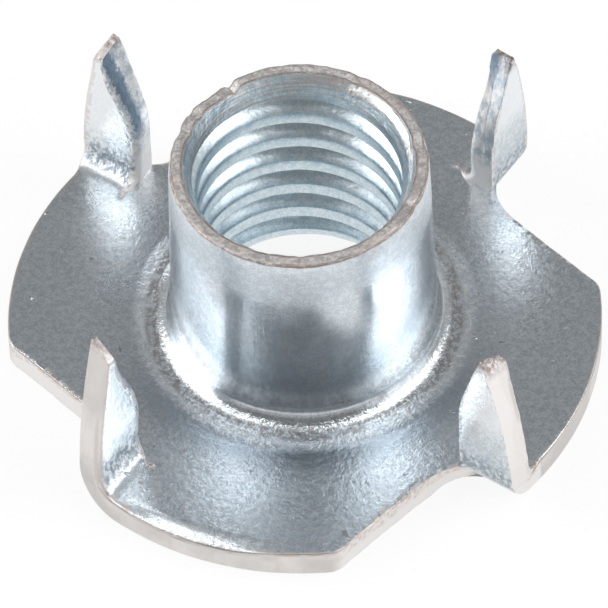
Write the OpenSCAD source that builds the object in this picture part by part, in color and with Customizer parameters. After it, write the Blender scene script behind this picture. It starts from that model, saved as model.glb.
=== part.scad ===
// Four-prong tee nut, stamped from one blank of sheet steel.  A drawn barrel takes the thread,
// a round flange seats on the panel, and four prongs are sheared from the flange's edge and
// folded up to bite.  The flange's underside lies on Z = 0 and the barrel's axis is Z.

/* [Sheet] */
// Thickness of the sheet at the flange
sheet_t = 1.5; // [1.2:0.05:1.8]

/* [Barrel] */
// Height of the rim above the flange's underside
barrel_h = 11.75; // [9.5:0.05:15]
// Outer radius at the rim
rim_r = 5.45; // [5.3:0.05:6.6]
// Draft of the outer wall
barrel_draft = 1.6; // [0.3:0.1:2.5]
// Radius of the fillet between the barrel and the flange
root_fillet_r = 0.9; // [0.4:0.05:1.5]
// Width of the rounding round the outside of the rim
rim_round_r = 0.2; // [0.1:0.05:0.3]
// Height of the shallow ring that the draw leaves round the barrel's foot
draw_ring_h = 0.15; // [0.05:0.05:0.4]
// Width of that ring beyond the root fillet
draw_ring_w = 0.8; // [0.4:0.1:1.5]

/* [Bore] */
// Radius of the bore at the thread's crests
bore_r = 4.3; // [3.6:0.05:4.5]
// Radius of the countersink at the rim
mouth_r = 4.85; // [4.6:0.05:5.1]
// Depth of the countersink
mouth_depth = 1.2; // [0.6:0.1:3.0]
// Radius that the draw rolls on the bore's lower edge
entry_r = 2.3; // [1.0:0.1:2.6]

/* [Flange] */
// Radius of the flange's round edge
flange_r = 12.7; // [12:0.1:16]
// Angle by which each shear leans in towards the barrel
shear_lean = 3.2; // [1:0.2:6]
// Radius of the corner where a shear meets the round edge
corner_r = 1.0; // [0.4:0.1:1.5]
// Radius of the fillet at a shear's root
shear_root_r = 1.2; // [0.6:0.1:1.4]

/* [Prongs] */
// Width of a prong at its fold
prong_w = 2.6; // [2.0:0.1:3.2]
// Thickness of a prong, which the fold thins
prong_t = 1.25; // [1.0:0.05:1.5]
// Height of a prong's tip above the flange's underside
prong_h = 9.5; // [8:0.1:11.5]
// Height at which the inner edge turns in to form the point
shoulder_h = 5.5; // [4.2:0.1:6.5]
// Radius that eases the inner edge into the point
shoulder_r = 7; // [2:0.5:12]
// Width of the small chisel edge at the tip
tip_w = 0.3; // [0.2:0.05:0.6]
// Slope of the tip across the prong's thickness, as a drop in height
tip_drop = 0.6; // [0.2:0.1:1.0]
// Radius of the long curve that the outer edge follows
edge_curve_r = 40; // [30:1:60]
// Slant of the sheared inner edge across the prong's thickness
edge_slant = 0.4; // [0.2:0.05:0.7]
// Radius of the fold, on its outside
fold_outer_r = 2.3; // [2.0:0.05:2.8]
// Radius of the fold, on its inside
fold_inner_r = 1.0; // [0.6:0.05:1.3]
// Distance that the fold starts behind the prong's radius
fold_back = 0.8; // [0.4:0.05:1.0]
// Angle between the fold line and the prong's radius
fold_skew = 8.8; // [4:0.2:12]
// Lean of each prong out of upright, away from its own lobe
prong_lean = [2.3, 0.8, 0.2, 1.9]; // [0:0.1:4]
// Height that each tip has gained or lost in the fold
tip_shift = [0.1, -0.3, -0.2, 0.4]; // [-0.5:0.1:0.5]

/* [Hidden] */

$fn = 96;

prong_count = 4;
first_prong_az = 45;

// Steps that keep cutting and joining faces off each other
eps = 0.05;
over = 2;

// Outer wall: a cone that reaches foot_r at the level of the draw ring's top
ring_top = sheet_t + draw_ring_h;
foot_r = rim_r + (barrel_h - ring_top) * tan(barrel_draft);
fillet_mid_r = foot_r + root_fillet_r * (1 - sin(barrel_draft)) / cos(barrel_draft);

// Shear: the line starts at the prong's inner edge and runs clockwise past the next lobe
prong_in_u = flange_r - prong_w;
shear_dir = [-sin(shear_lean), -cos(shear_lean)];
shear_normal = [cos(shear_lean), -sin(shear_lean)];
shear_dist = prong_in_u * cos(shear_lean);

// Fold line: u runs out along it, v runs square to it towards the prong's own lobe
fold_u = [cos(fold_skew), sin(fold_skew)];
fold_v = [-sin(fold_skew), cos(fold_skew)];

// Section of the folded prong, in v and z; a flat stub roots it in its lobe as far as stub_v
stub_v = 0.6;
fold_outer_mid = [-fold_back, fold_outer_r];
face_out_v = fold_outer_mid.x - fold_outer_r;
face_in_v = face_out_v + prong_t;
fold_inner_mid = [face_in_v + fold_inner_r, sheet_t + fold_inner_r];

// Face of the prong, in u and z: its outer edge starts where the fold line leaves the flange
prong_out_u = sqrt(flange_r ^ 2 - fold_back ^ 2);
edge_curve_mid_u = prong_out_u - edge_curve_r;
tip_in_u = edge_curve_mid_u + sqrt(edge_curve_r ^ 2 - (prong_h - sheet_t) ^ 2) - tip_w;
point_slope = (tip_in_u - prong_in_u) / (prong_h - shoulder_h);
point_turn = atan(point_slope);

// Wall of the barrel with its rim, draft, root fillet and draw ring, as a solid of revolution
module barrel_outside() {
    rotate_extrude() {
        polygon([
            [0, eps],
            [foot_r + root_fillet_r, eps],
            [fillet_mid_r + draw_ring_w, sheet_t],
            [fillet_mid_r, ring_top],
            [foot_r, ring_top],
            [rim_r + rim_round_r * tan(barrel_draft), barrel_h - rim_round_r],
            [rim_r - rim_round_r, barrel_h],
            [0, barrel_h]
        ]);
        root_fillet();
    }
}

// Section of the concave fillet between the drafted wall and the draw ring
module root_fillet() {
    mid = [fillet_mid_r, ring_top + root_fillet_r];
    wall_point = mid + root_fillet_r * [-cos(barrel_draft), -sin(barrel_draft)];
    difference() {
        polygon([
            [foot_r - eps, ring_top - eps],
            [mid.x, ring_top - eps],
            [mid.x, ring_top],
            mid,
            wall_point,
            wall_point - [eps, 0]
        ]);
        translate(mid)
            circle(root_fillet_r);
    }
}

// Everything that the draw and the tap take out: rolled entry, bore and countersink
module bore_inside() {
    rotate_extrude() {
        translate([0, -over])
            square([bore_r, barrel_h + 2 * over]);
        difference() {
            translate([0, -over])
                square([bore_r + entry_r, over + entry_r]);
            translate([bore_r + entry_r, entry_r])
                circle(entry_r);
        }
        polygon([
            [0, barrel_h - mouth_depth],
            [bore_r, barrel_h - mouth_depth],
            [mouth_r, barrel_h],
            [mouth_r, barrel_h + over],
            [0, barrel_h + over]
        ]);
    }
}

// Outline of the gap that a prong leaves in the flange, with the prong's radius along x
module shear_gap() {
    reach = 2 * flange_r;
    // Centre of the root fillet: shear_root_r clear of both the shear and the fold line
    to_shear = shear_dist + shear_root_r;
    to_fold = -fold_back - shear_root_r;
    spread = cos(shear_lean + fold_skew);
    mid = [
        (cos(fold_skew) * to_shear + sin(shear_lean) * to_fold) / spread,
        (sin(fold_skew) * to_shear + cos(shear_lean) * to_fold) / spread
    ];
    on_shear = mid - shear_root_r * shear_normal;
    on_fold = mid + shear_root_r * fold_v;
    polygon([
        mid,
        on_shear,
        on_shear + reach * shear_dir,
        on_shear + reach * (shear_dir + fold_u),
        on_fold + reach * fold_u,
        on_fold
    ]);
    translate(mid)
        circle(shear_root_r);
}

// Sharp point that is rounded off where the shear runs out through the round edge
module corner_waste() {
    mid_dist = shear_dist - corner_r;
    mid = mid_dist * shear_normal + sqrt((flange_r - corner_r) ^ 2 - mid_dist ^ 2) * shear_dir;
    outward = mid / norm(mid);
    difference() {
        polygon([
            mid,
            mid + 2 * corner_r * outward,
            mid + 2 * corner_r * (outward + shear_normal),
            mid + 2 * corner_r * shear_normal
        ]);
        translate(mid)
            circle(corner_r);
    }
}

// Flange, with a lobe between each gap and the next
module flange() {
    linear_extrude(sheet_t)
        difference() {
            circle(flange_r);
            for (i = [0 : prong_count - 1])
                rotate(first_prong_az + i * 360 / prong_count) {
                    shear_gap();
                    corner_waste();
                }
        }
}

// Section across a prong: flat stub, rolled fold and leaning upright with its sloped tip
module prong_section(lean, tip_z) {
    out_top = face_out_v - (tip_z - fold_outer_mid.y) * tan(lean);
    in_top = face_in_v - (tip_z - tip_drop - fold_inner_mid.y) * tan(lean);
    difference() {
        polygon([
            [stub_v, 0],
            [stub_v, sheet_t],
            [fold_inner_mid.x, sheet_t],
            fold_inner_mid,
            [face_in_v, fold_inner_mid.y],
            [in_top, tip_z - tip_drop],
            [out_top, tip_z],
            [face_out_v, fold_outer_mid.y],
            [face_out_v, 0]
        ]);
        translate(fold_inner_mid)
            circle(fold_inner_r);
        difference() {
            translate([face_out_v - over, -over])
                square([fold_outer_r + over, fold_outer_r + over]);
            translate(fold_outer_mid)
                circle(fold_outer_r);
        }
    }
}

// Outline of a prong's face: upright inner edge, eased shoulder, point and long outer curve
module prong_face() {
    ease_reach = shoulder_r * tan(point_turn / 2);
    ease_mid = [prong_in_u + shoulder_r, shoulder_h - ease_reach];
    on_point = ease_mid + shoulder_r * [-cos(point_turn), sin(point_turn)];
    translate([prong_in_u, -over])
        square([flange_r + over - prong_in_u, sheet_t + over]);
    intersection() {
        union() {
            polygon([
                [prong_in_u, sheet_t],
                [prong_out_u + over, sheet_t],
                [prong_out_u + over, prong_h + over],
                [tip_in_u + over * point_slope, prong_h + over],
                on_point,
                [prong_in_u, ease_mid.y]
            ]);
            intersection() {
                translate(ease_mid)
                    circle(shoulder_r);
                translate([prong_in_u - over, ease_mid.y])
                    square([prong_w / 2 + over, on_point.y - ease_mid.y]);
            }
        }
        translate([edge_curve_mid_u, sheet_t])
            circle(edge_curve_r, $fn = 360);
    }
}

// Plan of a prong: its sheared inner edge slants from the outer face to the inner one, and its
// outer edge runs straight on from the flange's round one
module prong_plan() {
    back_v = face_out_v - over;
    intersection() {
        polygon([
            [prong_in_u, back_v],
            [prong_in_u, face_out_v],
            [prong_in_u + edge_slant, face_in_v],
            [prong_in_u + edge_slant, stub_v + over],
            [flange_r + over, stub_v + over],
            [flange_r + over, back_v]
        ]);
        union() {
            circle(flange_r);
            translate([0, back_v - over])
                square([prong_out_u, over - back_v]);
        }
    }
}

// One folded prong, with its radius along X and standing up from its own lobe
module prong(lean, tip_z) {
    rotate(fold_skew)
        intersection() {
            rotate([90, 0, 90])
                linear_extrude(flange_r + over)
                    prong_section(lean, tip_z);
            translate([0, stub_v + over, 0])
                rotate([90, 0, 0])
                    linear_extrude(2 * flange_r)
                        prong_face();
            translate([0, 0, -over])
                linear_extrude(prong_h + 3 * over)
                    prong_plan();
        }
}

module tee_nut() {
    color("silver")
        difference() {
            union() {
                flange();
                barrel_outside();
                for (i = [0 : prong_count - 1])
                    rotate(first_prong_az + i * 360 / prong_count)
                        prong(prong_lean[i], prong_h + tip_shift[i]);
            }
            bore_inside();
        }
}

tee_nut();
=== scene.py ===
import math
import bpy
from mathutils import Matrix, Vector, noise


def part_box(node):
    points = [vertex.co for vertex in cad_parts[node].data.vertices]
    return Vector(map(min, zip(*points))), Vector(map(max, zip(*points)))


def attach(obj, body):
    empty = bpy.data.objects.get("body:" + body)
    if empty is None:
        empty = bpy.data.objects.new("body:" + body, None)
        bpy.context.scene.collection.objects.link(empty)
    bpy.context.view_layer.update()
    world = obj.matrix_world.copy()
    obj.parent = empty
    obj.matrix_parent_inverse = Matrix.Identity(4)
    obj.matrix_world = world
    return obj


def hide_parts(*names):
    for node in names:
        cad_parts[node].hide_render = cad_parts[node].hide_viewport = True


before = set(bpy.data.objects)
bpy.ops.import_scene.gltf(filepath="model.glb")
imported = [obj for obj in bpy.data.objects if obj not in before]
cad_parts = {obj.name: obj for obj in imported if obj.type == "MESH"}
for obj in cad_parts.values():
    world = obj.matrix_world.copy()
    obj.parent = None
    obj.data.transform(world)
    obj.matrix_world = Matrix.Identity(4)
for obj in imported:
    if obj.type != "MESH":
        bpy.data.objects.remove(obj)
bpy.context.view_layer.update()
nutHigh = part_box("tee_nut")[1]
print("frame loaded")

mm = 0.001  # every size below is in millimetres and turned to metres with this

# the nut's surface stays a little inside the frame's box, whose sizes are whole hundredths
clearance = 0.01
frameR = round(nutHigh[0] / mm, 2)
frameHeight = round(nutHigh[2] / mm, 2)

# what the plating is told of each point: 1 on an edge; 1 where an edge is torn, or on a prong's back; how far
# down the edge it lies; and 1 in the bore, 0.5 on the barrel's wall and 0.2 on a prong's inner edge
marks = ("edge", "torn", "depth", "bore")


def deselectAll():
    if bpy.context.object and bpy.context.object.mode != "OBJECT":
        bpy.ops.object.mode_set(mode="OBJECT")
    bpy.ops.object.select_all(action="DESELECT")


def ease(x):
    x = min(max(x, 0.0), 1.0)
    return x * x * (3 - 2 * x)


def mix(a, b, f):
    return a + (b - a) * f


# a flat grid is laid, then each of its points is carried to its place on the nut
def layGrid(name, across, along, place):
    deselectAll()
    bpy.ops.mesh.primitive_grid_add(x_subdivisions=across, y_subdivisions=along, size=1, location=(0, 0, 0))
    patch = bpy.context.object
    patch.name = name
    mesh = patch.data
    for mark in marks:
        mesh.attributes.new(mark, "FLOAT", "POINT")
    records = [mesh.attributes[mark].data for mark in marks]
    for n, vertex in enumerate(mesh.vertices):
        column = round((vertex.co.x + 0.5) * across)
        row = round((vertex.co.y + 0.5) * along)
        spot, values = place(column, row)
        vertex.co = Vector(spot) * mm
        for record, value in zip(records, values):
            record[n].value = value
    return patch


sheet = {
    "thickness": 1.5,      # of the blank, kept by the flange
    "flangeR": frameR - clearance,
    "cornerR": 1.0,        # where a shear runs out through the round edge
    "cornerAbout": 8.0,    # and about how far along the shear that is
    "shearOut": 9.79,      # from the axis to the shear, halfway along it
    "shearMiddle": 4.0,
    "shearTilt": -0.054,
    "shearHollow": 0.0045,
    "foldBack": 0.80,      # the fold starts this far behind the prong's radius
    "foldSkew": 8.8,       # degrees between the fold line and the prong's radius
    "foldR": 2.32,         # outside of the fold
    "foldThins": 0.28,     # the sheet loses this much through the fold
    "foldOver": 2.5,       # over this length
    "footR": 7.6,          # the barrel's foot ends here
    "ringR": 7.7,          # and the flange's own cells start here
    "lobeR": 9.0,
    "firstAzimuth": 45,
    # cells across and along each stretch
    "arcCells": 44, "shearCells": 36, "acrossCells": 14, "prongCells": 60, "lobeCells": 7, "ringCells": 7,
    "roundCells": 4, "wallCells": 9, "webCells": 9, "rootCells": 5, "cornerCells": 3,
    # at its root the shear runs out along the next prong's back: distances out along the fold line and back
    # from the prong's radius, on the top and on the underside
    "webFrom": (-4.5, -4.2),
    "webKnee": ((9.62, -3.15), (9.5, -2.35)),
    "webEnd": ((10.6, -2.8), (10.9, -1.75)),
    # how far each edge is rolled over, on the top and on the underside
    "arcRoll": (0.10, 0.22), "shearRoll": (0.06, 0.24), "prongRoll": (0.32, 0.08),
    "rollEnds": 4,         # cells over which the shear's rounding dies out at the slit's root
}

# each prong came out of the press a little differently: lean and twist in degrees, the rest in millimetres
prongs = [
    {"lean": 2.3, "rake": -0.0053, "twist": -2.8, "length": 10.04, "shift": -0.085,
     "tipRolls": (0.20, 0.22), "scuffed": 0},
    {"lean": 0.8, "rake": 0.0156, "twist": 5.5, "length": 9.64, "shift": 0.122,
     "tipRolls": (0.15, 0.15), "scuffed": 0},
    {"lean": 0.2, "rake": -0.023, "twist": -3.4, "length": 9.72, "shift": -0.405,
     "tipRolls": (0.16, 0.18), "scuffed": 0},
    {"lean": 1.9, "rake": 0.0034, "twist": -1.2, "length": 10.34, "shift": 0.056,
     "tipRolls": (0.48, 0.26), "scuffed": 1},
]
# the form that they share: its edges as curves up the prong, then how they turn and soften
blade = {
    "outStart": 12.66, "outSlope": 0.041, "outCurve": -0.0172, "outGrow": 0.17,
    "inStart": 9.89, "shoulder": 5.88, "shoulderFor": 9.93, "shoulderSoft": 0.6, "slant": 0.309,
    # how the cut of the inner edge turns on its way up
    "inSlant": 0.175, "inSlantAt": 4.87, "inSlantLimits": (-0.06, 0.42), "inSlantOver": 1.6,
    "rootOver": 1.5,       # the foot eases from the fold line into the edges over this length
    "shiftOver": 3.0,
    "rollOver": 0.6,       # the rounding of the inner edge grows over this length
    "widestRoll": 0.3,     # and takes no more of the prong's width than this share
    "tipDrop": 0.62,       # the tip's inner face ends lower
    # it twists about a point out along the fold line and back from the prong's radius, between two lengths
    "twistU": 11.3, "twistV": -2.3, "twistFrom": 1.5, "twistTo": 4.5,
}

skew = math.radians(sheet["foldSkew"])
lobeCells = sheet["arcCells"] + sheet["shearCells"]


def shearWidth(y):
    y = y - sheet["shearMiddle"]
    return sheet["shearOut"] + sheet["shearTilt"] * y + sheet["shearHollow"] * y * y


def shearMeets(v):
    # how far along the shear it meets the line that lies v off the next prong's radius
    y = 0.0
    for step in range(30):
        y = -(v + shearWidth(y) * math.sin(skew)) / math.cos(skew)
    return y


# the root of each slit is where the shear meets the next fold line
rootY = shearMeets(-sheet["foldBack"])
rootU = shearWidth(rootY) * math.cos(skew) - rootY * math.sin(skew)
cornerReach = sheet["flangeR"] - sheet["cornerR"]
cornerY = math.sqrt(cornerReach ** 2 - (shearWidth(sheet["cornerAbout"]) - sheet["cornerR"]) ** 2)
cornerMiddle = Vector((cornerY, shearWidth(cornerY) - sheet["cornerR"]))
cornerFrom = math.atan2(cornerMiddle.y, cornerMiddle.x)
cornerTo = math.pi / 2
cornerCells = sheet["cornerCells"]
shearEnd = sheet["arcCells"] + sheet["acrossCells"] + sheet["shearCells"]


def curve(a, b, c, t):
    return (1 - t) * (1 - t) * a + 2 * t * (1 - t) * b + t * t * c


def roll(kind, side):
    return sheet[kind + "Roll"][0 if side else 1]


# in all that follows side is 1 on the top of the sheet and 0 on its underside; in the fold they become
# the prong's inner and outer faces.  A rolled point stands back from the edge by the edge's rounding.
def foldPoint(u, v):
    return Vector((u * math.cos(skew) - v * math.sin(skew), u * math.sin(skew) + v * math.cos(skew)))


def pastCorner(n):
    # 0 on the lobe's arc, 1 on its shear
    return ease((n - sheet["arcCells"] + cornerCells) / (2 * cornerCells))


def outlineRolls(n, side):
    toRoot = min(1, math.sqrt(max(shearEnd - n, 0) / sheet["rollEnds"]))
    return mix(roll("arc", side), roll("shear", side) * toRoot, pastCorner(n))


def lobeFromFold(u, v):
    # from the next prong's fold to the lobe's own axes
    spot = foldPoint(u, v)
    return Vector((-spot.y, spot.x))


def webPoint(n, side, inset):
    # from the shear, round the notch's root and back inside the metal to the point where the fold starts
    y = shearMeets(sheet["webFrom"][1 - side])
    start = Vector((y, shearWidth(y) - inset))
    knee = lobeFromFold(*sheet["webKnee"][1 - side]) + Vector((inset, -inset)) * 0.7  # back from both sides
    finish = lobeFromFold(*sheet["webEnd"][1 - side]) + Vector((inset, 0))
    left = shearEnd - n
    if left >= sheet["rootCells"]:
        f = 1 - (left - sheet["rootCells"]) / sheet["webCells"]
        return curve(start, knee, finish, f)
    root = Vector((rootY, shearWidth(rootY)))
    return finish.lerp(root, 1 - left / sheet["rootCells"])


def outlinePoint(n, side, rolled=True):
    # n runs round one lobe: along the arc to its corner, then down the shear to the slit's root
    inset = outlineRolls(n, side) if rolled else 0
    radius = sheet["flangeR"] - inset
    arcSteps = sheet["arcCells"] - cornerCells
    if n <= arcSteps:
        start = skew - math.asin(sheet["foldBack"] / radius)
        angle = mix(start, cornerFrom, n / arcSteps)
        return Vector((radius * math.cos(angle), radius * math.sin(angle)))
    if n <= sheet["arcCells"] + cornerCells:
        angle = mix(cornerFrom, cornerTo, (n - arcSteps) / (2 * cornerCells))
        return cornerMiddle + (sheet["cornerR"] - inset) * Vector((math.cos(angle), math.sin(angle)))
    straightEnd = shearEnd - sheet["rootCells"] - sheet["webCells"]
    if n >= straightEnd:
        return webPoint(n, side, inset)
    f = (n - sheet["arcCells"] - cornerCells) / (straightEnd - sheet["arcCells"] - cornerCells)
    y = mix(cornerY, shearMeets(sheet["webFrom"][1 - side]), f)
    return Vector((y, shearWidth(y) - inset))


def prongLimits(prong, s, side):
    grow = ease(s / blade["rootOver"])
    h = s - blade["shoulder"] - (prong["length"] - blade["shoulderFor"])
    inner = blade["inStart"] + blade["slant"] * (h + math.sqrt(h * h + blade["shoulderSoft"])) / 2
    inner = mix(rootU, inner, grow)
    outer = blade["outStart"] + blade["outSlope"] * s + blade["outCurve"] * s * s
    outer = mix(math.sqrt(sheet["flangeR"] ** 2 - sheet["foldBack"] ** 2), outer, grow)
    if side:
        leastSlant, mostSlant = blade["inSlantLimits"]
        slant = min(max(blade["inSlant"] * (s - blade["inSlantAt"]), leastSlant), mostSlant)
        inner += slant * ease(s / blade["inSlantOver"])
        outer += blade["outGrow"] * ease(s / sheet["foldOver"])
    moved = prong["rake"] * s + prong["shift"] * ease(s / blade["shiftOver"])
    return inner + moved, outer + moved


def prongRolls(prong, s, side):
    inner, outer = prongLimits(prong, s, side)
    widest = blade["widestRoll"] * (outer - inner)
    inRoll = min(roll("prong", side), widest) * min(1, math.sqrt(s / blade["rollOver"]))
    outRoll = min(mix(roll("arc", side), roll("prong", side), ease(s / sheet["foldOver"])), widest)
    return inRoll, outRoll


def prongPoint(prong, s, u, t):
    bend = math.radians(90 - prong["lean"])
    neutral = sheet["foldR"] - (sheet["thickness"] - sheet["foldThins"]) / 2
    b = min(s / neutral, bend)
    rest = max(s - bend * neutral, 0)
    v = -sheet["foldBack"] - sheet["foldR"] * math.sin(b) - rest * math.cos(bend)
    z = sheet["foldR"] * (1 - math.cos(b)) + rest * math.sin(bend)
    thickness = sheet["thickness"] - sheet["foldThins"] * ease(s / sheet["foldOver"])
    v += math.sin(b) * thickness * t
    z += math.cos(b) * thickness * t
    twisted = ease((s - blade["twistFrom"]) / (blade["twistTo"] - blade["twistFrom"]))
    turned = math.radians(prong["twist"]) * twisted
    du, dv = u - blade["twistU"], v - blade["twistV"]
    u = blade["twistU"] + du * math.cos(turned) - dv * math.sin(turned)
    v = blade["twistV"] + du * math.sin(turned) + dv * math.cos(turned)
    flat = foldPoint(u, v)
    return Vector((flat.x, flat.y, z))


def prongGrid(prong, i, j, side, rolled=True):
    # i runs across from the inner edge to the outer one, j runs up to the tip
    top = prong["length"] - (blade["tipDrop"] if side else 0)
    if rolled:
        top -= prong["tipRolls"][1 - side]
    s = top * j / sheet["prongCells"]
    inner, outer = prongLimits(prong, s, side)
    inRoll, outRoll = prongRolls(prong, s, side) if rolled else (0, 0)
    if j == 0:
        outer = math.sqrt((sheet["flangeR"] - outRoll) ** 2 - sheet["foldBack"] ** 2)
        outRoll = 0
    u = mix(inner + inRoll, outer - outRoll, i / sheet["acrossCells"])
    return prongPoint(prong, s, u, side)


def rotated(spot, degrees):
    a = math.radians(degrees)
    x = spot.x * math.cos(a) - spot.y * math.sin(a)
    y = spot.x * math.sin(a) + spot.y * math.cos(a)
    return Vector((x, y, spot.z))


def azimuth(k):
    return sheet["firstAzimuth"] + 90 * k


def foldRow(i, side):
    spot = prongGrid(prongs[0], i, 0, side)
    return Vector((spot.x, spot.y))


def lobeInner(n, side):
    # the line across the lobe from one slit's root to the point on the shear where the outer cells end
    first, last = foldRow(0, side), outlinePoint(sheet["arcCells"] + sheet["acrossCells"], side)
    f = n / sheet["arcCells"]
    angle = mix(math.atan2(first.y, first.x), math.atan2(last.y, last.x), f)
    radius = mix(first.length, last.length, ease(f) * f)
    return Vector((radius * math.cos(angle), radius * math.sin(angle)))


def lobeOuterGrid(n, i, side):
    u, v = n / sheet["arcCells"], i / sheet["acrossCells"]
    low, high = lobeInner(n, side), outlinePoint(n, side)
    left, right = foldRow(i, side), outlinePoint(sheet["arcCells"] + sheet["acrossCells"] - i, side)
    corners = (
        (1 - u) * (1 - v) * foldRow(0, side) + u * (1 - v) * lobeInner(sheet["arcCells"], side)
        + (1 - u) * v * outlinePoint(0, side) + u * v * outlinePoint(sheet["arcCells"], side)
    )
    spot = (1 - v) * low + v * high + (1 - u) * left + u * right - corners
    return Vector((spot.x, spot.y, sheet["thickness"] * side))


def lobeEdge(n, side):
    if n <= sheet["arcCells"]:
        return lobeInner(n, side)
    if n == lobeCells:
        root = foldRow(0, side)
        return Vector((-root.y, root.x))
    return outlinePoint(n + sheet["acrossCells"], side)


def lobeStart():
    start = foldRow(0, 1)
    return math.degrees(math.atan2(start.y, start.x))


def ringPoint(n, radius):
    angle = math.radians(lobeStart() + 90 * n / lobeCells)
    return radius * Vector((math.cos(angle), math.sin(angle)))


def lobeGrid(n, i, side):
    spot = ringPoint(n, sheet["lobeR"]).lerp(lobeEdge(n, side), i / sheet["lobeCells"])
    return Vector((spot.x, spot.y, sheet["thickness"] * side))


def ringGrid(n, i, side):
    # the innermost row falls on the barrel's own columns, of which there are fewer
    if i == 0:
        perLobe = barrel["columns"] / len(prongs)
        spot = ringPoint(round(n * perLobe / lobeCells) * lobeCells / perLobe, sheet["footR"])
    else:
        spot = ringPoint(n, mix(sheet["ringR"], sheet["lobeR"], (i - 1) / (sheet["ringCells"] - 1)))
    return Vector((spot.x, spot.y, sheet["thickness"] * side))


def buildSheetFaces():
    made = []
    for side in (1, 0):
        for k, prong in enumerate(prongs):
            turn = azimuth(k)
            # each patch: cells across and along, where its points go, and how torn it is
            patches = {
                "lobeOuter": (sheet["arcCells"], sheet["acrossCells"],
                              lambda n, i: lobeOuterGrid(n, i, side), 0),
                "lobe": (lobeCells, sheet["lobeCells"], lambda n, i: lobeGrid(n, i, side), 0),
                "ring": (lobeCells, sheet["ringCells"], lambda n, i: ringGrid(n, i, side), 0),
                "prong": (sheet["acrossCells"], sheet["prongCells"],
                          lambda i, j: prongGrid(prong, i, j, side), 1 - side),
            }
            for name, (across, along, place, torn) in patches.items():
                made.append(layGrid(name, across, along,
                                    lambda column, row: (rotated(place(column, row), turn), (0, torn, 0, 0))))
    return made


def edgeLoop():
    # every stop round the sheet's edge: where the rounding starts on each face, the two sharp corners
    # that it replaces, how far it reaches down the edge from each, how torn the edge is, and a small bore
    # mark that tells a prong's inner edge from the others
    stops = []
    acrossCells, prongCells = sheet["acrossCells"], sheet["prongCells"]
    for k in range(len(prongs)):
        turn = azimuth(k)
        for n in range(shearEnd):
            stop = []
            for side in (1, 0):
                for rolled in (True, False):
                    spot = outlinePoint(n, side, rolled)
                    stop.append(rotated(Vector((spot.x, spot.y, sheet["thickness"] * side)), turn))
            rolls = [outlineRolls(n, side) for side in (1, 0)]
            stops.append((stop, rolls, pastCorner(n), 0))
        prong = prongs[(k + 1) % len(prongs)]
        turn = azimuth(k + 1)
        path = [(0, j) for j in range(prongCells)] + [(i, prongCells) for i in range(acrossCells)]
        path += [(acrossCells, j) for j in range(prongCells, 0, -1)]
        for i, j in path:
            stop = [rotated(prongGrid(prong, i, j, side, rolled), turn)
                    for side in (1, 0) for rolled in (True, False)]
            s = prong["length"] * j / prongCells
            rolls = [prongRolls(prong, s, side)[0 if i == 0 else 1] for side in (1, 0)]
            if j == prongCells:
                rolls = prong["tipRolls"]
            innerEdge = i == 0
            stops.append((stop, rolls, 1 if innerEdge else prong["scuffed"], 0.2 if innerEdge else 0))
    return stops


def buildSheetEdge():
    stops = edgeLoop()
    count = len(stops)
    roundCells, wallCells = sheet["roundCells"], sheet["wallCells"]
    rows = 2 * roundCells + wallCells

    def place(n, row):
        (topFace, topCorner, lowFace, lowCorner), (topRoll, lowRoll), torn, innerCut = stops[n % count]
        down = (lowCorner - topCorner).normalized()
        upperEnd = topCorner + down * topRoll
        lowerEnd = lowCorner - down * lowRoll
        if row <= roundCells:
            spot = curve(topFace, topCorner, upperEnd, row / roundCells)
        elif row >= roundCells + wallCells:
            spot = curve(lowFace, lowCorner, lowerEnd, (rows - row) / roundCells)
        else:
            spot = upperEnd.lerp(lowerEnd, (row - roundCells) / wallCells)
        return spot, (1, torn, row / rows, innerCut)

    return layGrid("edge", count, rows, place)


barrel = {
    "height": frameHeight - clearance, "rimR": 5.45, "draft": 1.6, "filletR": 0.9,
    "ringH": 0.05, "ringFrom": 6.7, "ringTo": 7.3,
    "rimRound": 0.16, "rimInnerR": 4.88, "mouthR": 4.84, "mouthDepth": 1.2, "entryR": 2.3,
    "columns": 192,
    # thread of 16 turns to the inch, right-handed: its crests are flat over 0.4 of the pitch, its roots sharp
    "crestR": 4.3, "threadDepth": 0.54, "crestRound": 0.02, "pitch": 25.4 / 16, "crestAt": 7.82,
    "crestHalf": 0.2, "flankCurve": 0.35, "helixTop": 0.06, "helixLow": 0.15, "turns": (3, -7),
    # rows of cells
    "footRows": 6, "filletRows": 9, "wallRows": 24, "roundRows": 3, "rimRows": 4,
    "entryRows": 6, "underRows": 6,
}
# heights of the rows in one turn of thread, as shares of the pitch from the middle of a crest
flankRows = [0.46, 0.41, 0.36, 0.31, 0.26, 0.207, 0.185, 0.09]
threadRows = [0.5] + flankRows + [0] + [-share for share in reversed(flankRows)]
# what the plating is told of each kind of row
rowMarks = {
    "flat": (0, 0, 0, 0),
    "wall": (0, 0, 0, 0.5),
    "rim": (1, 1, 0, 0),     # its depth is worked out across the rim
    "helix": (0, 0, 0, 1),
    "entry": (0, 0, 0, 1),
}


def boreR(z, degrees):
    share = (z - barrel["crestAt"]) / barrel["pitch"] - (degrees - 90) / 360
    away = abs((share + 0.5) % 1 - 0.5)
    cut = min(max((away - barrel["crestHalf"]) / (0.5 - barrel["crestHalf"]), 0), 1)
    radius = barrel["crestR"] + barrel["threadDepth"] * mix(cut, ease(cut), barrel["flankCurve"])
    radius += barrel["crestRound"] * min(away / barrel["crestHalf"], 1) ** 2
    below = barrel["height"] - z
    cone = mix(barrel["mouthR"], barrel["crestR"], below / barrel["mouthDepth"])
    radius = max(radius, cone)
    entryR = barrel["entryR"]
    if z < entryR:
        radius = max(radius, barrel["crestR"] + entryR - math.sqrt(entryR ** 2 - (entryR - z) ** 2))
    return radius


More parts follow.
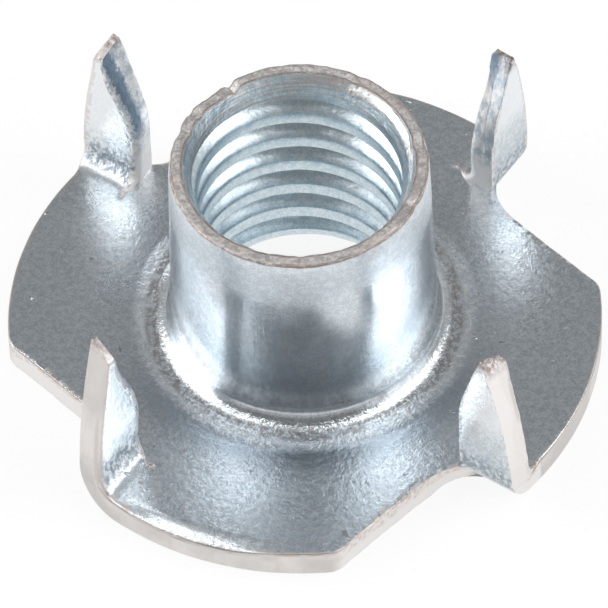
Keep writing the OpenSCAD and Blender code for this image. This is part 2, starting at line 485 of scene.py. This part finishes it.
def barrelProfile():
    # rows from the flange's top, up the outside, over the rim, down the thread and out along the underside
    tilt = math.radians(barrel["draft"])
    thickness, height, entryR = sheet["thickness"], barrel["height"], barrel["entryR"]
    footR = barrel["rimR"] + (height - thickness) * math.tan(tilt)
    middleR = footR + barrel["filletR"] * (1 - math.sin(tilt)) / math.cos(tilt)
    middleZ = thickness + barrel["ringH"] + barrel["filletR"]
    rows = []
    for n in range(barrel["footRows"] + 1):
        r = mix(sheet["footR"], middleR, n / barrel["footRows"])
        raised = ease((barrel["ringTo"] - r) / (barrel["ringTo"] - barrel["ringFrom"]))
        rows.append(("flat", r, thickness + barrel["ringH"] * raised))
    for n in range(1, barrel["filletRows"] + 1):
        a = mix(-math.pi / 2, -math.pi + tilt, n / barrel["filletRows"])
        wallLow = middleZ + barrel["filletR"] * math.sin(a)
        rows.append(("wall", middleR + barrel["filletR"] * math.cos(a), wallLow))
    wallTop = height - barrel["rimRound"]
    for n in range(1, barrel["wallRows"] + 1):
        z = mix(wallLow, wallTop, n / barrel["wallRows"])
        rows.append(("wall", barrel["rimR"] + (height - z) * math.tan(tilt), z))
    for n in range(1, barrel["roundRows"] + 1):
        a = math.pi / 2 * n / barrel["roundRows"]
        r = barrel["rimR"] - barrel["rimRound"] * (1 - math.cos(a))
        rows.append(("rim", r, height - barrel["rimRound"] * (1 - math.sin(a))))
    for n in range(1, barrel["rimRows"] + 1):
        r = mix(barrel["rimR"] - barrel["rimRound"], barrel["rimInnerR"], n / barrel["rimRows"])
        rows.append(("rim", r, height))
    for turn in range(*barrel["turns"], -1):
        for share in threadRows:
            rows.append(("helix", turn + share, 0))
    start = math.asin((entryR - barrel["helixLow"]) / entryR)
    for n in range(barrel["entryRows"] + 1):
        a = mix(start, math.pi / 2, n / barrel["entryRows"])
        rows.append(("entry", barrel["crestR"] + entryR * (1 - math.cos(a)), entryR * (1 - math.sin(a))))
    for n in range(1, barrel["underRows"] + 1):
        rows.append(("flat", mix(barrel["crestR"] + entryR, sheet["footR"], n / barrel["underRows"]), 0))
    return rows


def buildBarrel():
    rows = barrelProfile()
    columns = barrel["columns"]

    def place(column, row):
        degrees = lobeStart() + sheet["firstAzimuth"] + 360 * column / columns
        kind, r, z = rows[row]
        edge, torn, depth, bore = rowMarks[kind]
        if kind == "rim":
            depth = (barrel["rimR"] - r) / (barrel["rimR"] - barrel["rimInnerR"])
        if kind == "helix":
            # a helix row has its turn in place of a radius
            z = barrel["crestAt"] + barrel["pitch"] * (r + (degrees - 90) / 360)
            z = min(max(z, barrel["helixLow"]), barrel["height"] - barrel["helixTop"])
            r = boreR(z, degrees)
        a = math.radians(degrees)
        return (r * math.cos(a), r * math.sin(a), z), (edge, torn, depth, bore)

    return layGrid("barrel", columns, len(rows) - 1, place)


sewing = {
    "gap": 0.0015,         # the patches are merged over this distance
    "smoothUnder": 38,     # degrees between faces that are shaded as one
}


def joinPieces(parts, name):
    deselectAll()
    for part in parts:
        part.select_set(True)
    bpy.context.view_layer.objects.active = parts[0]
    bpy.ops.object.join()
    whole = bpy.context.object
    whole.name = name
    whole.data.name = name
    bpy.ops.object.mode_set(mode="EDIT")
    bpy.ops.mesh.select_all(action="SELECT")
    bpy.ops.mesh.remove_doubles(threshold=sewing["gap"] * mm)
    bpy.ops.mesh.select_all(action="DESELECT")
    bpy.ops.object.mode_set(mode="OBJECT")
    return whole


wear = {
    # how far the press and the tumbling barrel moved each kind of surface, in millimetres: the most, the mean
    # as a share of it, and then lumps, each with its share, its size and its seed
    "rim": (0.07, -0.45, (0.6, 1.1, 3), (0.45, 0.35, 5)),
    "tip": (0.10, -0.25, (0.8, 0.8, 7), (0.5, 0.3, 9)),
    "bore": (0.012, 0, (1, 0.7, 11)),
    "smoothEdge": (0.02, -0.6, (0.5, 1.4, 13)),
    "tornEdge": (0.045, -0.6, (0.5, 1.4, 13), (0.5, 0.4, 15)),
    "face": (0.008, -0.5, (0.8, 1.8, 17)),
    "tipFrom": 8.2, "tipOver": 1.2, "tipBeyond": 8, "rimFrom": 11.2, "rimOver": 0.4, "rimWithin": 6,
    "flatBelow": 0.02,     # the underside is left flat
    # one stretch of the flange's rim is bent down to a lip: azimuth, width in degrees, where it starts, slope
    "lipAt": 246, "lipWide": 14, "lipFrom": 12.1, "lipSlope": 0.5, "lipHeights": (0.9, 1.6),
    # nicks round the barrel's rim: azimuth, width in degrees, how deep, how far in
    "nicks": [
        (122, 2.2, 0.16, 0.10), (131, 8.0, 0.10, 0.08), (146, 2.0, 0.12, 0.05), (158, 3.0, 0.05, 0.10),
        (9, 3.0, 0.06, 0.08), (-27, 2.6, 0.13, 0.10), (253, 1.8, 0.10, 0.04), (269, 1.6, 0.09, 0.04),
        (60, 2.5, 0.06, 0.03), (205, 2.0, 0.06, 0.05),
    ],
}


def wornPush(kind, spot):
    most, push, *lumps = wear[kind]
    for share, size, seed in lumps:
        push += share * noise.noise(spot * (1 / (mm * size)) + Vector((seed, seed * 0.7, -seed)))
    return most * push


def angleFrom(where, degrees):
    # the angle between two azimuths, the short way round
    return (degrees - where + 180) % 360 - 180


def wearNut(nut):
    mesh = nut.data
    edge, torn, bore = [mesh.attributes[mark].data for mark in ("edge", "torn", "bore")]
    lipLow, lipHigh = wear["lipHeights"]
    moved = []
    for n, v in enumerate(mesh.vertices):
        spot = v.co.copy()
        x, y, z = [c / mm for c in spot]
        r = math.hypot(x, y)
        around = math.degrees(math.atan2(y, x))
        onRim = ease((z - wear["rimFrom"]) / wear["rimOver"]) if r < wear["rimWithin"] else 0
        drop = Vector((0, 0, 0))
        if r > wear["lipFrom"] and lipLow < z < lipHigh:
            bent = math.exp(-(angleFrom(wear["lipAt"], around) / wear["lipWide"]) ** 4)
            drop.z = -wear["lipSlope"] * (r - wear["lipFrom"]) * bent
        if onRim:
            push = onRim * wornPush("rim", spot)
            for where, width, deep, inward in wear["nicks"]:
                cut = math.exp(-(angleFrom(where, around) / width) ** 2) * onRim
                drop += Vector((-x / r * inward, -y / r * inward, -deep)) * cut
        elif z > wear["tipFrom"] and r > wear["tipBeyond"]:
            push = ease((z - wear["tipFrom"]) / wear["tipOver"]) * wornPush("tip", spot)
        elif bore[n].value > 0.9:
            push = wornPush("bore", spot)
        elif edge[n].value > 0.5:
            push = mix(wornPush("smoothEdge", spot), wornPush("tornEdge", spot), torn[n].value)
        else:
            push = wornPush("face", spot)
        if z < wear["flatBelow"]:
            push = 0
        moved.append(spot + (v.normal * push + drop) * mm)
    for v, spot in zip(mesh.vertices, moved):
        v.co = spot
    mesh.update()


def buildNut():
    parts = buildSheetFaces()
    print("sheet faces laid")
    parts.append(buildSheetEdge())
    print("sheet edge rolled")
    parts.append(buildBarrel())
    print("barrel drawn and threaded")
    nut = joinPieces(parts, "teeNut")
    bpy.ops.object.mode_set(mode="EDIT")
    bpy.ops.mesh.select_all(action="SELECT")
    bpy.ops.mesh.normals_make_consistent(inside=False)
    bpy.ops.mesh.select_all(action="DESELECT")
    bpy.ops.object.mode_set(mode="OBJECT")
    wearNut(nut)
    deselectAll()
    nut.select_set(True)
    bpy.context.view_layer.objects.active = nut
    bpy.ops.object.shade_smooth_by_angle(angle=math.radians(sewing["smoothUnder"]))
    return nut


nut = buildNut()
print("nut modelled")


def linear(hexColour):
    # sRGB hex to the linear colour that the shader takes
    channels = [int(hexColour[n:n + 2], 16) / 255 for n in (1, 3, 5)]
    return tuple([c / 12.92 if c <= 0.04045 else ((c + 0.055) / 1.055) ** 2.4 for c in channels] + [1.0])


def addNode(tree, kind, settings=None, inputs=None):
    # an input, by its name or number, takes a plain value or the output of another node
    node = tree.nodes.new(kind)
    for name, value in (settings or {}).items():
        setattr(node, name, value)
    for name, value in (inputs or {}).items():
        if isinstance(value, bpy.types.NodeSocket):
            tree.links.new(value, node.inputs[name])
        else:
            node.inputs[name].default_value = value
    return node


def freshMaterial(name):
    material = bpy.data.materials.new(name)
    material.use_nodes = True
    material.node_tree.nodes.clear()
    return material


zinc = {
    "face": "#e5ecf1", "shade": "#cbd3da",                       # the plate and its duller grains
    "edge": "#d3cfcc", "edgePale": "#e7e3e0", "cut": "#f5f2f0",  # its edges, thinly plated and warmer
    "rimShade": "#ccc9c9", "bore": "#eef8fd", "boreShade": "#d0e2eb",
    # f6f9fb below is a painted highlight, laid on the prongs, the fillet and the mouth
    "drag": "#cdd3d2", "paintedBright": "#f6f9fb", "stain": "#d3bdb0", "tipStain": "#8c7370", "lines": "#8f776a",
    # 8e9ba6 below is a dull tone that also serves as painted shade, round the barrel's foot and on the folds'
    # feet
    "blotch": "#9fb2c0", "navy": "#6d8ba5", "foot": "#7f736c", "dullAndPaintedShade": "#8e9ba6",
    # patterns: size in millimetres, detail, roughness, stretch, turn
    "patterns": {
        "crinkle": (0.30, 3.0, 0.6, (1, 1, 1), 0),
        "grain": (0.085, 2.0, 0.5, (1, 1, 1), 0),        # the real grain is finer than would show
        "cloud": (2.6, 3.0, 0.55, (1, 1, 1), 0),
        "streak": (0.16, 3.0, 0.6, (1, 1, 0.06), 0),     # drag marks up the walls
        "rings": (0.10, 2.0, 0.5, (0.04, 0.04, 1), 0),   # marks of drawing and countersinking, round the axis
        "crack": (0.22, 3.0, 0.7, (1, 1, 0.8), 0),
        "blots": (0.6, 3.0, 0.7, (1, 1, 1), 0),
        "pits": (0.6, 1.0, 0.5, (1, 1, 1), 0),
        "nick": (0.7, 2.0, 0.6, (1, 1.6, 1), 0.6),
    },
    # sums of what is known at a spot: each part's factor and its limits, after a start
    "sums": {
        "mottled": (0, (0.45, "crinkle"), (0.55, "grain")),
        "tipTop": (0, (1, "height"), (1, "cloud")),
        "border": (-0.35, (1, "depth"), (0.7, "cloud")),
        "sideways": (-0.25, (1, "depth"), (0.5, "crack")),
        "lowEnd": (0, (1, "height"), (-0.25, "x")),
        "speckled": (0.6, (0.6, "crinkle")),
    },
    # zones of the surface, each the largest of its choices
    "zones": {
        "topSide": [[("height", 1.0, 1.3)]],
        "wall": [[("bore", 0.3, 0.45), ("bore", 0.8, 0.6)]],
        "inside": [[("bore", 0.75, 0.9)]],
        "mouth": [["inside", ("height", 10.3, 10.9)]],
        "rim": [[("height", 11.3, 11.55), ("edge", 0.3, 0.7)]],
        "prong": [[("radius", 8.6, 9.2), ("height", 1.5, 1.75)]],
        "prongFoot": [["prong", ("height", 4.4, 2.6)]],
        "tip": [[("radius", 8.0, 8.5), ("tipTop", 9.0, 9.9)]],
        "flat": [["not prong", "not edge", "not wall", "not inside"]],
        "fillet": [["topSide", ("radius", 5.85, 6.1), ("radius", 7.5, 7.1), ("height", 2.7, 2.1)]],
        "foot": [["topSide", ("radius", 6.15, 6.4), ("radius", 6.95, 6.7), ("height", 2.3, 2.0)]],
        "mottle": [[("mottled", 0.40, 0.60)], ["wall", 0.2]],
        # the upper part of a cut is torn, the lower part sheared smooth, with a wandering border
        "sheared": [["edge", "torn", "not rim"]],
        "upperTorn": [["sheared", ("border", 0.52, 0.42)]],
        "prongCut": [["sheared", ("bore", 0.08, 0.16), ("height", 2.6, 4.2)]],
        "coarse": [["upperTorn"], ["rim"], ["tip"], ["prongFoot"]],
        # a corner's line is fainter along the prongs
        "fainter": [["prong", 0.7]],
        "cornerLine": [["edge", ("depth", 0.12, 0.2), ("depth", 0.30, 0.22), "not fainter",
                        ("cloud", 0.42, 0.62)]],
        # drawing has smoothed the barrel's wall; it is rougher higher up, with a band of draw marks
        "smoothed": [["wall", 0.85]],
        "wallTop": [["wall", ("height", 8.6, 10.2)]],
        "band": [["wall", ("height", 9.6, 10.2), ("height", 11.4, 11.2)]],
        "nicked": [["flat", ("nick", 0.71, 0.76)]],
        # the draw leaves a dull ring beyond its fillet, and painted shade darkens it most at the front
        "back": [[("y", -5.5, -1.0), 0.75]],
        "dullRingAndPaintedShade": [["flat", "topSide", ("radius", 6.9, 7.3), ("radius", 9.3, 7.5), "not back"]],
    },
    # coats over the shade, from first to last: colour, strength and the zone it covers, as choices
    "coats": [
        ("face", 1, [["mottle"]]),
        ("edge", 1, [["edge"]]),
        ("edgePale", 1, [["edge", ("cloud", 0.38, 0.62)]]),
        ("cut", 1, [["edge", "torn"]]),
        ("stain", 0.55, [["upperTorn", "not prong", ("crack", 0.44, 0.62)]]),
        ("stain", 0.18, [["edge", "not torn", ("streak", 0.48, 0.70)]]),
        ("rimShade", 1, [["rim"]]),
        ("cut", 1, [["rim", ("crack", 0.40, 0.60)]]),
        ("boreShade", 1, [["inside"]]),
        ("bore", 1, [["inside", "mottle"]]),
        # the prongs' backs carry faint upright drag marks low down; a painted highlight lightens their inner
        # faces, their tips and the upper half of every face
        ("drag", 0.5, [["prong", "not edge", "torn", ("streak", 0.42, 0.62), ("height", 6.0, 4.5)]]),
        ("paintedBright", 0.8, [["prong", "not edge", "not torn"], ["prong", "not edge", ("height", 4.5, 6.0)]]),
        # their cut inner edges are blotched, and dark blue beside the corner, further down on one side
        ("blotch", 0.6, [["prongCut", ("blots", 0.42, 0.62)]]),
        ("navy", 0.8, [["prongCut", ("lowEnd", 5.0, 6.6),
                        ("sideways", 0.10, 0.18), ("sideways", 0.55, 0.36)]]),
        # a thin brown line along the top corner of every edge and both borders of the rim
        ("lines", 0.8, [["cornerLine"],
                        ["rim", ("depth", 0.30, 0.10), ("crack", 0.36, 0.56)],
                        ["rim", ("depth", 0.75, 0.95), ("crack", 0.36, 0.56)]]),
        # the folds' feet are crushed and mottled, and painted shade darkens them low down, towards the flange
        ("blotch", 0.6, [["prongFoot", "not edge", ("crack", 0.46, 0.56)]]),
        ("dullAndPaintedShade", 0.6, [["prongFoot", "not edge", ("height", 3.0, 2.3), ("crack", 0.40, 0.54)]]),
        ("dullAndPaintedShade", 0.66, [["dullRingAndPaintedShade", "speckled"]]),
        ("foot", 0.55, [["flat", "topSide", ("pits", 0.78, 0.80)]]),
        # painted highlight in cracked patches along the fillet
        ("paintedBright", 0.55, [["fillet", ("crack", 0.45, 0.60)]]),
        ("foot", 0.6, [["foot", ("crack", 0.42, 0.58)]]),
        # painted highlight in cracked patches in the mouth's cone
        ("paintedBright", 0.6, [["mouth", ("crack", 0.46, 0.58)]]),
        ("stain", 0.55, [["rim", 0.3, ("rings", 0.44, 0.62)], ["mouth", ("rings", 0.44, 0.62)]]),
        ("tipStain", 0.75, [["tip", ("crack", 0.36, 0.60)]]),
    ],
    "roughness": (0.12, (0.12, "cloud"), (0.16, "edge"), (0.24, "coarse"), (0.16, "inside"),
                  (0.20, "wallTop"), (0.09, "flat")),
    # height of the surface in millimetres
    "relief": (0, (0.0175, "crinkle", "not smoothed"), (0.0058, "grain", "not smoothed"),
               (0.006, "wall", "streak"), (0.010, "band", "rings"), (0.02, "mouth", "rings"),
               (0.04, "mouth", "crack"), (0.05, "coarse", "crack"), (0.035, "fillet", "crack"),
               (0.12, "nicked", "nick")),
}


def withinLimits(tree, known, limits):
    # how far a spot is within all of the limits.  A limit is the name of something known, "not" and its
    # name, a plain factor, or a name with the value where it counts for nothing and that where it counts
    # fully, with a smooth rise or fall between
    share = None
    for limit in limits:
        if isinstance(limit, tuple):
            name, nothing, fully = limit
            value = addNode(tree, "ShaderNodeMapRange", {"interpolation_type": "SMOOTHSTEP"},
                            {"Value": known[name], "From Min": nothing, "From Max": fully}).outputs["Result"]
        elif isinstance(limit, float):
            value = limit
        elif limit.startswith("not "):
            value = addNode(tree, "ShaderNodeMath", {"operation": "SUBTRACT"},
                            {0: 1.0, 1: known[limit.removeprefix("not ")]}).outputs[0]
        else:
            value = known[limit]
        if share is not None:
            product = addNode(tree, "ShaderNodeMath", {"operation": "MULTIPLY"}, {0: share, 1: value})
            value = product.outputs[0]
        share = value
    return share


def largestOf(tree, known, choices):
    largest = None
    for limits in choices:
        share = withinLimits(tree, known, limits)
        if largest is not None:
            larger = addNode(tree, "ShaderNodeMath", {"operation": "MAXIMUM"}, {0: largest, 1: share})
            share = larger.outputs[0]
        largest = share
    return largest


def sumOf(tree, known, start, *parts):
    total = start
    for factor, *limits in parts:
        share = withinLimits(tree, known, limits)
        total = addNode(tree, "ShaderNodeMath", {"operation": "MULTIPLY_ADD"},
                        {0: share, 1: factor, 2: total}).outputs[0]
    return total


def knownOfSpot(tree):
    # the place of a spot on the nut in millimetres, what its mesh says of it, and the patterns there
    place = addNode(tree, "ShaderNodeTexCoord").outputs["Object"]
    scaled = addNode(tree, "ShaderNodeVectorMath", {"operation": "SCALE"}, {0: place, "Scale": 1 / mm})
    spot = scaled.outputs[0]
    axes = addNode(tree, "ShaderNodeSeparateXYZ", inputs={0: spot})
    level = addNode(tree, "ShaderNodeVectorMath", {"operation": "MULTIPLY"}, {0: spot, 1: (1, 1, 0)})
    radius = addNode(tree, "ShaderNodeVectorMath", {"operation": "LENGTH"}, {0: level.outputs[0]})
    known = {
        "x": axes.outputs["X"],
        "y": axes.outputs["Y"],
        "height": axes.outputs["Z"],
        "radius": radius.outputs["Value"],
    }
    for mark in marks:
        known[mark] = addNode(tree, "ShaderNodeAttribute", {"attribute_name": mark}).outputs["Fac"]
    for name, (size, detail, rough, stretch, turn) in zinc["patterns"].items():
        placed = addNode(tree, "ShaderNodeMapping", inputs={
            "Vector": spot, "Scale": [c / size for c in stretch], "Rotation": (0, 0, turn)})
        known[name] = addNode(tree, "ShaderNodeTexNoise", inputs={
            "Vector": placed.outputs[0], "Scale": 1.0, "Detail": detail, "Roughness": rough}).outputs[0]
    return known


def brightZincPlate():
    # zinc plate over pressed steel: a bright bluish mirror, broken up by the plated sheet's fine crinkle
    material = freshMaterial("brightZincPlate")
    tree = material.node_tree
    known = knownOfSpot(tree)
    for name, parts in zinc["sums"].items():
        known[name] = sumOf(tree, known, *parts)
    for name, choices in zinc["zones"].items():
        known[name] = largestOf(tree, known, choices)
    colour = linear(zinc["shade"])
    for coat, strength, choices in zinc["coats"]:
        zone = largestOf(tree, known, choices)
        share = addNode(tree, "ShaderNodeMath", {"operation": "MULTIPLY"}, {0: zone, 1: strength})
        colour = addNode(tree, "ShaderNodeMix", {"data_type": "RGBA"},
                         {0: share.outputs[0], 6: colour, 7: linear(zinc[coat])}).outputs[2]
    relief = sumOf(tree, known, *zinc["relief"])
    bump = addNode(tree, "ShaderNodeBump", inputs={"Strength": 1.0, "Distance": mm, "Height": relief})
    shader = addNode(tree, "ShaderNodeBsdfPrincipled", inputs={
        "Metallic": 1.0, "Base Color": colour, "Roughness": sumOf(tree, known, *zinc["roughness"]),
        "Normal": bump.outputs["Normal"]})
    addNode(tree, "ShaderNodeOutputMaterial", inputs={"Surface": shader.outputs["BSDF"]})
    return material


nut.data.materials.clear()
nut.data.materials.append(brightZincPlate())
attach(nut, "root")
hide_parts("tee_nut")
print("zinc plated")


paleFloor = {
    "size": 6000, "below": 0.02, "paint": "#f4f4f4",
    "glow": 0.88,          # of the white that the camera and the metal see, over the paint with its shadow
    # the metal sees it dimmer close by, where the nut shades it
    "dim": 0.86, "dimTo": 9, "clearFrom": 20,
}


def anyRay(tree, *kinds):
    # 1 for a ray of any of the kinds
    path = addNode(tree, "ShaderNodeLightPath")
    seen = path.outputs[kinds[0]]
    for kind in kinds[1:]:
        either = addNode(tree, "ShaderNodeMath", {"operation": "MAXIMUM"}, {0: seen, 1: path.outputs[kind]})
        seen = either.outputs[0]
    return seen


def layFloor():
    deselectAll()
    bpy.ops.mesh.primitive_plane_add(size=paleFloor["size"] * mm, location=(0, 0, -paleFloor["below"] * mm))
    floor = bpy.context.object
    floor.name = "floor"
    material = freshMaterial("paleFloor")
    tree = material.node_tree
    eye = anyRay(tree, "Is Camera Ray")
    seen = anyRay(tree, "Is Camera Ray", "Is Glossy Ray", "Is Transmission Ray")
    share = addNode(tree, "ShaderNodeMath", {"operation": "MULTIPLY"}, {0: seen, 1: paleFloor["glow"]})
    spot = addNode(tree, "ShaderNodeTexCoord")
    away = addNode(tree, "ShaderNodeVectorMath", {"operation": "LENGTH"}, {0: spot.outputs["Object"]})
    dim = addNode(tree, "ShaderNodeMapRange", inputs={
        "Value": away.outputs["Value"], "From Min": paleFloor["dimTo"] * mm,
        "From Max": paleFloor["clearFrom"] * mm, "To Min": paleFloor["dim"], "To Max": 1.0})
    paintedBright = addNode(tree, "ShaderNodeMath", {"operation": "MAXIMUM"}, {0: dim.outputs["Result"], 1: eye})
    paint = addNode(tree, "ShaderNodeBsdfDiffuse", inputs={"Color": linear(paleFloor["paint"])})
    glow = addNode(tree, "ShaderNodeEmission",
                   inputs={"Color": linear("#ffffff"), "Strength": paintedBright.outputs[0]})
    both = addNode(tree, "ShaderNodeMixShader",
                   inputs={0: share.outputs[0], 1: paint.outputs[0], 2: glow.outputs[0]})
    addNode(tree, "ShaderNodeOutputMaterial", inputs={"Surface": both.outputs[0]})
    floor.data.materials.append(material)


studio = {
    # radiance that the metal sees low down, halfway up and overhead, and the sine of halfway's elevation
    "low": (0.48, 0.465, 0.455), "middle": (0.31, 0.31, 0.31), "top": (0.215, 0.22, 0.225),
    "middleAt": 0.72,
    "fill": 0.5,           # light on the floor from all round
    # panels: azimuth, elevation and roll; half width, half height and softness as slopes; radiance
    "panels": [
        (-92, 52, 0, 0.95, 0.50, 0.30, 0.21),
        (-31, 50, 0, 0.09, 0.40, 0.025, 0.85),
        (180, 28, 9, 0.44, 0.70, 0.04, 2.9),
        (-22, 18, 0, 0.42, 0.38, 0.08, 1.2),
        (0, 57, 0, 0.31, 0.40, 0.05, 4.2),
        (212, 63, 0, 0.13, 0.14, 0.03, 2.8),
        (90, 80, 0, 0.9, 0.26, 0.12, 0.52),
    ],
    "ahead": 0.1,          # a panel shows only in the half of the room that it is in
    # lamps that light the floor: azimuth, elevation, width and height in metres, watts
    "lamps": {
        "softboxLeft": (180, 28, 0.42, 0.50, 1.7),
        "softboxRight": (-14, 38, 0.38, 0.46, 1.4),
    },
    "lampsAway": 0.45,
}


def wayTo(azimuthDegrees, elevationDegrees):
    a, e = math.radians(azimuthDegrees), math.radians(elevationDegrees)
    return Vector((math.cos(a) * math.cos(e), math.sin(a) * math.cos(e), math.sin(e)))


def panelShare(tree, way, panel):
    # 1 where the way meets the panel, falling to 0 over its soft border
    azimuthDegrees, elevationDegrees, rollDegrees, wide, high, soft = panel[:-1]
    forward = wayTo(azimuthDegrees, elevationDegrees)
    across = wayTo(azimuthDegrees + 90, 0)
    up = forward.cross(across)
    r = math.radians(rollDegrees)
    axes = [forward, across * math.cos(r) + up * math.sin(r), up * math.cos(r) - across * math.sin(r)]
    ahead, sideways, upwards = [
        addNode(tree, "ShaderNodeVectorMath", {"operation": "DOT_PRODUCT"},
                {0: way, 1: axis}).outputs["Value"]
        for axis in axes
    ]
    share = addNode(tree, "ShaderNodeMath", {"operation": "GREATER_THAN"}, {0: ahead, 1: studio["ahead"]})
    for reach, half in ((sideways, wide), (upwards, high)):
        slope = addNode(tree, "ShaderNodeMath", {"operation": "DIVIDE"}, {0: reach, 1: ahead})
        size = addNode(tree, "ShaderNodeMath", {"operation": "ABSOLUTE"}, {0: slope.outputs[0]})
        fade = addNode(tree, "ShaderNodeMapRange", {"interpolation_type": "SMOOTHSTEP"},
                       {"Value": size.outputs[0], "From Min": half + soft, "From Max": half - soft})
        share = addNode(tree, "ShaderNodeMath", {"operation": "MULTIPLY"},
                        {0: share.outputs[0], 1: fade.outputs[0]})
    return share.outputs[0]


def studioWorld():
    # white for the eye; the metal sees a grey room with soft panels of light
    world = bpy.data.worlds.new("studio")
    world.use_nodes = True
    tree = world.node_tree
    tree.nodes.clear()
    way = addNode(tree, "ShaderNodeTexCoord").outputs["Generated"]
    rise = addNode(tree, "ShaderNodeSeparateXYZ", inputs={0: way}).outputs["Z"]
    ramp = addNode(tree, "ShaderNodeValToRGB", inputs={0: rise})
    ramp.color_ramp.elements.new(studio["middleAt"])
    for stop, level in zip(ramp.color_ramp.elements, ("low", "middle", "top")):
        stop.color = (*studio[level], 1)
    room = addNode(tree, "ShaderNodeBackground", inputs={"Color": ramp.outputs["Color"]})
    for panel in studio["panels"]:
        glow = addNode(tree, "ShaderNodeBackground",
                       inputs={"Color": linear("#ffffff"), "Strength": panel[-1]})
        room = addNode(tree, "ShaderNodeMixShader",
                       inputs={0: panelShare(tree, way, panel), 1: room.outputs[0], 2: glow.outputs[0]})
    fill = addNode(tree, "ShaderNodeBackground",
                   inputs={"Color": linear("#ffffff"), "Strength": studio["fill"]})
    white = addNode(tree, "ShaderNodeBackground", inputs={"Color": linear("#ffffff"), "Strength": 1.0})
    metal = anyRay(tree, "Is Glossy Ray", "Is Transmission Ray")
    both = addNode(tree, "ShaderNodeMixShader", inputs={0: metal, 1: fill.outputs[0], 2: room.outputs[0]})
    eye = anyRay(tree, "Is Camera Ray")
    every = addNode(tree, "ShaderNodeMixShader", inputs={0: eye, 1: both.outputs[0], 2: white.outputs[0]})
    addNode(tree, "ShaderNodeOutputWorld", inputs={"Surface": every.outputs[0]})
    bpy.context.scene.world = world


def hangLamps():
    # they light the floor; the metal sees the panels of the room instead
    for name, (azimuthDegrees, elevationDegrees, width, height, power) in studio["lamps"].items():
        lampData = bpy.data.lights.new(name, "AREA")
        lampData.shape = "RECTANGLE"
        lampData.size = width
        lampData.size_y = height
        lampData.energy = power
        lamp = bpy.data.objects.new(name, lampData)
        bpy.context.scene.collection.objects.link(lamp)
        lamp.location = studio["lampsAway"] * wayTo(azimuthDegrees, elevationDegrees)
        lamp.rotation_euler = (-lamp.location).to_track_quat("-Z", "Y").to_euler()
        lamp.visible_glossy = False


layFloor()
studioWorld()
hangLamps()
print("studio lit")

view = {
    "elevation": 52.31, "roll": -2.27, "distance": 0.3410,
    "right": -0.015, "up": 1.317,  # where the view's middle lies from the origin, in millimetres
    "lens": 471.7, "sensor": 36.0,
}


def placeCamera():
    cameraData = bpy.data.cameras.new("camera")
    cameraData.lens = view["lens"]
    cameraData.sensor_width = view["sensor"]
    camera = bpy.data.objects.new("camera", cameraData)
    bpy.context.scene.collection.objects.link(camera)
    e, r = math.radians(view["elevation"]), math.radians(view["roll"])
    forward = Vector((0, math.cos(e), -math.sin(e)))
    across = Vector((1, 0, 0))
    up = across.cross(forward)
    place = -forward * view["distance"] + (across * view["right"] + up * view["up"]) * mm
    rolledAcross = across * math.cos(r) + up * math.sin(r)
    rolledUp = up * math.cos(r) - across * math.sin(r)
    turned = Matrix((rolledAcross, rolledUp, -forward)).transposed()
    camera.matrix_world = Matrix.Translation(place) @ turned.to_4x4()
    bpy.context.scene.camera = camera


placeCamera()
bpy.context.scene.view_settings.view_transform = "Standard"
print("camera placed")
